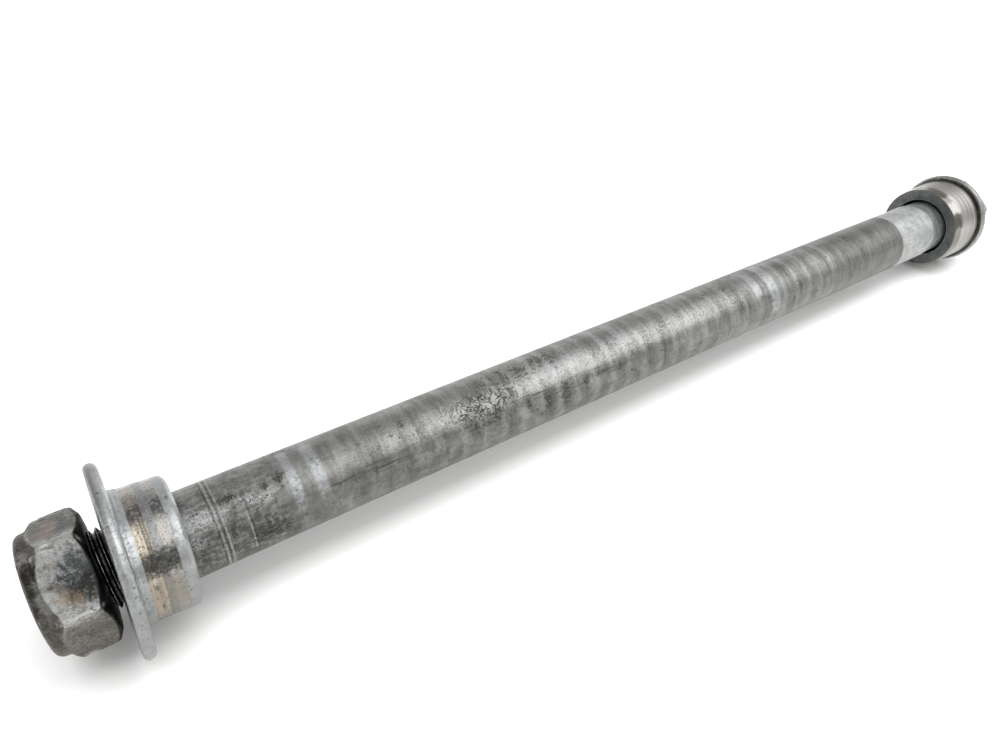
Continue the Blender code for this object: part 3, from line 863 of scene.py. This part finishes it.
def polished_steel():
    """The plain collar: rubbed bright outside in turned bands, dull and dark on its front face, with
    painted reflection and shade.
    """
    f = Finish("polished_steel", SHAFT_LINE)
    lines = f.noise(1.6, 3.0, stretch=(1, 0.05, 0.05))
    grain = f.noise(2.0, 4.0, sharp=0.65, shift=3.0)
    bright = f.ramp(f.blend((lines, 0.6), (grain, 0.4)), (0.36, (0.32, 0.312, 0.30)),
                    (0.62, (0.48, 0.472, 0.455)))
    marks = f.patches((144.6, 6, 3.0, 16), (144.8, 53, 2.4, 8), ragged=0.6)
    bright = f.mix(f.times(marks, 0.6), bright, (0.172, 0.148, 0.117))
    # painted dark reflection on the smooth front, but for one light streak where the highlight falls
    shoulder = PLAIN_START + PLAIN_SHOULDER
    from_streak = f.math("ABSOLUTE", f.math("SUBTRACT", f.angle, 39))
    front_dark_reflection = f.times(f.rise(f.x, shoulder - 0.2, shoulder - 1.4), f.rise(from_streak, 4, 13))
    bright = f.mix(f.times(front_dark_reflection, 0.75), bright, (0.14, 0.13, 0.105))
    grooves = f.most(*[f.ring(PLAIN_START + spot, 0.35) for spot in PLAIN_GROOVES])
    bright = f.mix(f.times(grooves, 0.3), bright, (0.203, 0.191, 0.172))
    # painted shade low down and on the far side of the top
    bright = f.mix(f.underside(70, 95), bright, (0.76, 0.76, 0.75), "MULTIPLY")
    bright = f.mix(f.rise(f.angle, -25, -50, 0.3), bright, (0.15, 0.145, 0.135))
    # the front face, the bore and its worn mouth
    inner = f.times(f.rise(f.reach, PLAIN_RADIUS - 0.12, PLAIN_RADIUS - 0.3),
                    f.rise(f.x, PLAIN_START + 0.5, PLAIN_START + 0.3))
    dark = f.ramp(f.blend((grain, 0.6), (f.noise(0.4, 4.0), 0.4)), (0.40, (0.058, 0.066, 0.061)),
                  (0.60, (0.125, 0.133, 0.125)))
    bright = f.mix(inner, bright, dark)
    mouth = f.times(f.between(f.reach, PLAIN_MOUTH - 0.12, PLAIN_MOUTH + 0.1, 0.1),
                    f.rise(f.x, PLAIN_START + 0.6, PLAIN_START + 0.2))
    bright = f.mix(f.times(mouth, 0.5), bright, (0.328, 0.335, 0.328))
    f.colour(bright)
    dull = f.rise(f.x, shoulder - 0.4, shoulder + 0.4)
    f.rough(f.blend((lines, 0.14), (inner, 0.30), (marks, 0.2), (dull, 0.26), (1.0, 0.08)))
    f.put(f.shader.inputs["Metallic"], f.math("MULTIPLY_ADD", inner, -0.5, 1.0))
    f.bump(f.blend((lines, 0.12), (grain, 0.2), (f.times(grain, inner), 1.0)), 0.05)
    return f.material


def stained_zinc():
    """The washer: brown-stained face, rubbed lighter round its rim."""
    f = Finish("stained_zinc", SHAFT_LINE)
    cloud = f.noise(0.4, 5.0, sharp=0.6)
    grain = f.noise(1.8, 4.0, sharp=0.7, shift=3.0)
    face = f.ramp(f.blend((cloud, 0.6), (grain, 0.4)), (0.40, (0.05, 0.043, 0.034)),
                  (0.60, (0.13, 0.118, 0.098)))
    rim = f.rise(f.math("MULTIPLY_ADD", f.torn, 1.2, f.reach), WASHER_RADIUS - 0.95, WASHER_RADIUS - 0.45)
    light = f.ramp(grain, (0.4, (0.234, 0.246, 0.234)), (0.6, (0.406, 0.421, 0.406)))
    f.colour(f.mix(rim, face, light))
    f.rough(f.blend((cloud, 0.3), (1.0, 0.25)))
    f.bump(grain, 0.08)
    return f.material


# Pieces

def make_axle():
    neck_end = HEAD_START + NECK_OVERLAP
    body = turned("axle_fine", [
        (SHOULDER, 0), (SHOULDER, THREAD_ROOT),
        (SHOULDER + SHAFT_RADIUS - THREAD_ROOT, SHAFT_RADIUS, 0.15),
        (NECK_START - NECK_CHAMFER, SHAFT_RADIUS, 0.12), (NECK_START, NECK_RADIUS, 0.12),
        (neck_end, NECK_RADIUS), (neck_end, 0)], closed=False)
    thread = threaded_bar("thread", THREAD_CREST, THREAD_ROOT, THREAD_END, SHOULDER + THREAD_OVERLAP,
                          THREAD_CHAMFER)
    body = combine(body, thread, "UNION")
    head = turned("head", [
        (HEAD_START, 0), (HEAD_START, HEAD_CORNER, 0.2),
        (HEAD_END - (HEAD_CORNER - HEAD_FACE) * tan(CHAMFER_ANGLE), HEAD_CORNER, 0.2),
        (HEAD_END, HEAD_FACE, 0.3), (HEAD_END, 0)], closed=False)
    bar = hexagon_bar("head_bar", HEAD_FLAT, HEAD_START - BAR_SPARE, HEAD_END + BAR_SPARE, HEAD_TURN,
                      HEAD_SOFT)
    head = combine(head, bar, "INTERSECT")
    body = combine(body, head, "UNION")
    return place(body, SHAFT_LINE, node="axle", body="axle",
                 finishes=[worn_steel(), oiled_thread()])


def dress_thread(piece):
    """Gives the faces of the threaded end their own finish."""
    back = SHAFT_LINE.inverted()
    for face in piece.data.polygons:
        face.material_index = 1 if (back @ face.center).x < SHOULDER + 1 else 0


def make_nut():
    hexagon_start = CROWN_END + CROWN_HEIGHT
    hexagon_end = NUT_END - (NUT_CORNER - NUT_FACE) * tan(CHAMFER_ANGLE)
    seat_start = RING_START - RING_GAP
    seat_end = seat_start + RING_THICKNESS + 2 * RING_GAP
    # the tap opens this bore up to its thread
    core = THREAD_ROOT - 0.5
    nut = turned("axle_nut_fine", [
        (NUT_END, core), (NUT_END, NUT_FACE, 0.25), (hexagon_end, NUT_CORNER, 0.3),
        (hexagon_start + (NUT_CORNER - CROWN_RADIUS) * tan(CROWN_CHAMFER_ANGLE), NUT_CORNER, 0.3),
        (hexagon_start, CROWN_RADIUS), (CROWN_END, CROWN_RADIUS, CROWN_ROUND),
        (CROWN_END, CROWN_MOUTH, 0.15), (seat_start, CROWN_MOUTH, 0.1), (seat_start, RING_SEAT),
        (seat_end, RING_SEAT), (seat_end, core)])
    bar = hexagon_bar("nut_bar", NUT_FLAT, CROWN_END - BAR_SPARE, NUT_END + BAR_SPARE, NUT_TURN, NUT_SOFT)
    nut = combine(nut, bar, "INTERSECT")
    tap = threaded_bar("tap", THREAD_CREST + NUT_THREAD_GAP, THREAD_ROOT + NUT_THREAD_GAP,
                       CROWN_END - TAP_SPARE, NUT_END + TAP_SPARE)
    nut = combine(nut, tap, "DIFFERENCE")
    wear_nut(nut)
    return place(nut, SHAFT_LINE, node="axle_nut", body="axle_nut",
                 finishes=[dark_iron()], sharp=False)


def wear_nut(nut):
    """Softens the nut's edges and presses dents into its outside, most at the long corners."""
    remesh = nut.modifiers.new("soften", "REMESH")
    remesh.mode = "VOXEL"
    remesh.voxel_size = NUT_VOXEL
    settle(nut)
    shape = bmesh.new()
    shape.from_mesh(nut.data)
    outside = [vert for vert in shape.verts if hypot(vert.co.y, vert.co.z) > RING_SEAT + 0.3]
    bmesh.ops.smooth_vert(shape, verts=outside, factor=0.5, use_axis_x=True, use_axis_y=True,
                          use_axis_z=True)
    shape.normal_update()
    for vert in outside:
        angle = atan2(-vert.co.y, vert.co.z) - radians(NUT_TURN)
        corner = max(0.0, cos(6 * angle)) ** 3
        broad = noise.noise(vert.co * 0.16)
        knock = max(0.0, noise.noise(vert.co * 0.55 + Vector((7, 3, 1))) - 0.05)
        small = noise.noise(vert.co * 1.6)
        depth = 0.05 + 0.09 * broad + (0.12 + 0.75 * corner) * knock + 0.02 * small
        vert.co -= vert.normal * max(0.0, depth)
    shape.to_mesh(nut.data)
    shape.free()


def make_ring():
    ring_end = RING_START + RING_THICKNESS
    outside = RING_SEAT - RING_GAP
    ring = turned("locking_ring_fine", [(RING_START, RING_BORE, 0.1), (ring_end, RING_BORE, 0.1),
                                        (ring_end, outside, 0.1), (RING_START, outside, 0.1)])
    return place(ring, SHAFT_LINE, node="locking_ring", body="nut_carrier",
                 finishes=[spring_steel()])


def groove(x, radius, width=0.45, depth=0.06):
    """Profile points of a fine turned line."""
    return [(x - width / 2, radius), (x, radius - depth, 0.04), (x + width / 2, radius)]


def make_flanged_collar():
    flange_end = COLLAR_START + FLANGE_THICKNESS
    rim = FLANGE_THICKNESS / 2 * 0.98
    bead = HUB_RADIUS + HUB_BEAD
    profile = [(COLLAR_START, COLLAR_MOUTH, 0.1), (COLLAR_START, FLANGE_RADIUS, rim),
               (flange_end, FLANGE_RADIUS, rim), (flange_end, bead),
               (flange_end + 0.75, bead, 0.12), (flange_end + 0.95, HUB_RADIUS, 0.08),
               (HUB_END, HUB_RADIUS, 0.06), (HUB_END, BARREL_RADIUS)]
    for spot in COLLAR_GROOVES:
        profile += groove(spot, BARREL_RADIUS, width=0.16, depth=0.05)
    profile += [(COLLAR_END - END_CHAMFER, BARREL_RADIUS, 0.25),
                (COLLAR_END, BARREL_RADIUS - END_CHAMFER, 0.15), (COLLAR_END, COLLAR_MOUTH, 0.1),
                (COLLAR_END - 0.3, COLLAR_BORE, 0.1), (COLLAR_START + 0.3, COLLAR_BORE, 0.1)]
    collar = turned("flanged_collar_fine", profile)
    return place(collar, COLLAR_LINE, node="flanged_collar", body="flanged_collar",
                 finishes=[scuffed_zinc()])


def make_plain_collar():
    shoulder = PLAIN_START + PLAIN_SHOULDER
    profile = [(PLAIN_START + PLAIN_MOUTH - RUNNING_BORE, RUNNING_BORE, 0.1),
               (PLAIN_START, PLAIN_MOUTH, 0.1), (PLAIN_START, PLAIN_RADIUS, 0.35),
               (shoulder - 1.6, PLAIN_RADIUS + 0.15, 0.5), (shoulder, PLAIN_REAR_RADIUS, 0.5)]
    for spot in PLAIN_GROOVES:
        profile += groove(PLAIN_START + spot, PLAIN_REAR_RADIUS, depth=0.04)
    profile += [(PLAIN_END, PLAIN_REAR_RADIUS, 0.5), (PLAIN_END, RUNNING_BORE, 0.1)]
    collar = turned("plain_collar_fine", profile)
    return place(collar, SHAFT_LINE, node="plain_collar", body="plain_collar",
                 finishes=[polished_steel()])


def make_washer():
    washer = turned("washer_fine", [
        (WASHER_START, RUNNING_BORE, 0.1), (WASHER_START, WASHER_RADIUS, WASHER_EDGE),
        (WASHER_END, WASHER_RADIUS, WASHER_EDGE), (WASHER_END, RUNNING_BORE, 0.1)])
    return place(washer, SHAFT_LINE, node="washer", body="axle",
                 finishes=[stained_zinc()])


# Stage

def make_floor():
    """A plain pale floor that takes the object's shadow."""
    shape = bmesh.new()
    bmesh.ops.create_grid(shape, x_segments=1, y_segments=1, size=FLOOR_REACH)
    mesh = bpy.data.meshes.new("floor")
    shape.to_mesh(mesh)
    shape.free()
    ground = add_object("floor", mesh)
    material = bpy.data.materials.new("floor_white")
    material.use_nodes = True
    shader = material.node_tree.nodes["Principled BSDF"]
    shader.inputs["Base Color"].default_value = FLOOR_COLOUR
    shader.inputs["Roughness"].default_value = 1.0
    shader.inputs["Specular IOR Level"].default_value = 0.0
    mesh.materials.append(material)


def make_world():
    world = bpy.data.worlds.new("studio")
    world.use_nodes = True
    sky = world.node_tree.nodes["Background"]
    sky.inputs["Color"].default_value = (1.0, 1.0, 1.0, 1.0)
    sky.inputs["Strength"].default_value = WORLD_STRENGTH
    bpy.context.scene.world = world


def make_lamp(name, centre, target, size, radiance, mirrored=True):
    """A soft panel that faces a point; a radiance of 1 is seen as white in the metal that mirrors it."""
    light = bpy.data.lights.new(name, "AREA")
    light.shape = "RECTANGLE"
    light.size, light.size_y = size
    light.energy = radiance * pi * size[0] * size[1]
    lamp = add_object(name, light)
    lamp.location = centre
    lamp.rotation_euler = (Vector(target) - Vector(centre)).to_track_quat("-Z", "Y").to_euler()
    lamp.visible_glossy = mirrored


def make_camera():
    lens = bpy.data.cameras.new("camera")
    lens.lens = LENS
    lens.sensor_width = SENSOR
    camera = add_object("camera", lens)
    camera.location = CAMERA_PLACE
    camera.rotation_euler = (radians(CAMERA_TILT), 0.0, radians(CAMERA_TURN))
    bpy.context.scene.camera = camera


axle = make_axle()
dress_thread(axle)
make_nut()
make_ring()
make_flanged_collar()
make_plain_collar()
make_washer()
make_floor()
make_world()
make_lamp("front_panel", centre=(0.95, -0.65, 0.95), target=(0.95, -0.65, 0.0), size=(2.6, 1.3),
          radiance=1.6)
make_lamp("ceiling_panel", centre=(0.0, -0.2, 1.2), target=(0.0, -0.2, 0.0), size=(1.8, 0.8),
          radiance=3.2, mirrored=False)
make_lamp("back_panel", centre=(0.4, 1.5, 0.38), target=(0.0, 0.0, 0.0), size=(3.2, 0.7),
          radiance=0.75)
make_camera()
bpy.context.scene.view_settings.view_transform = "Standard"
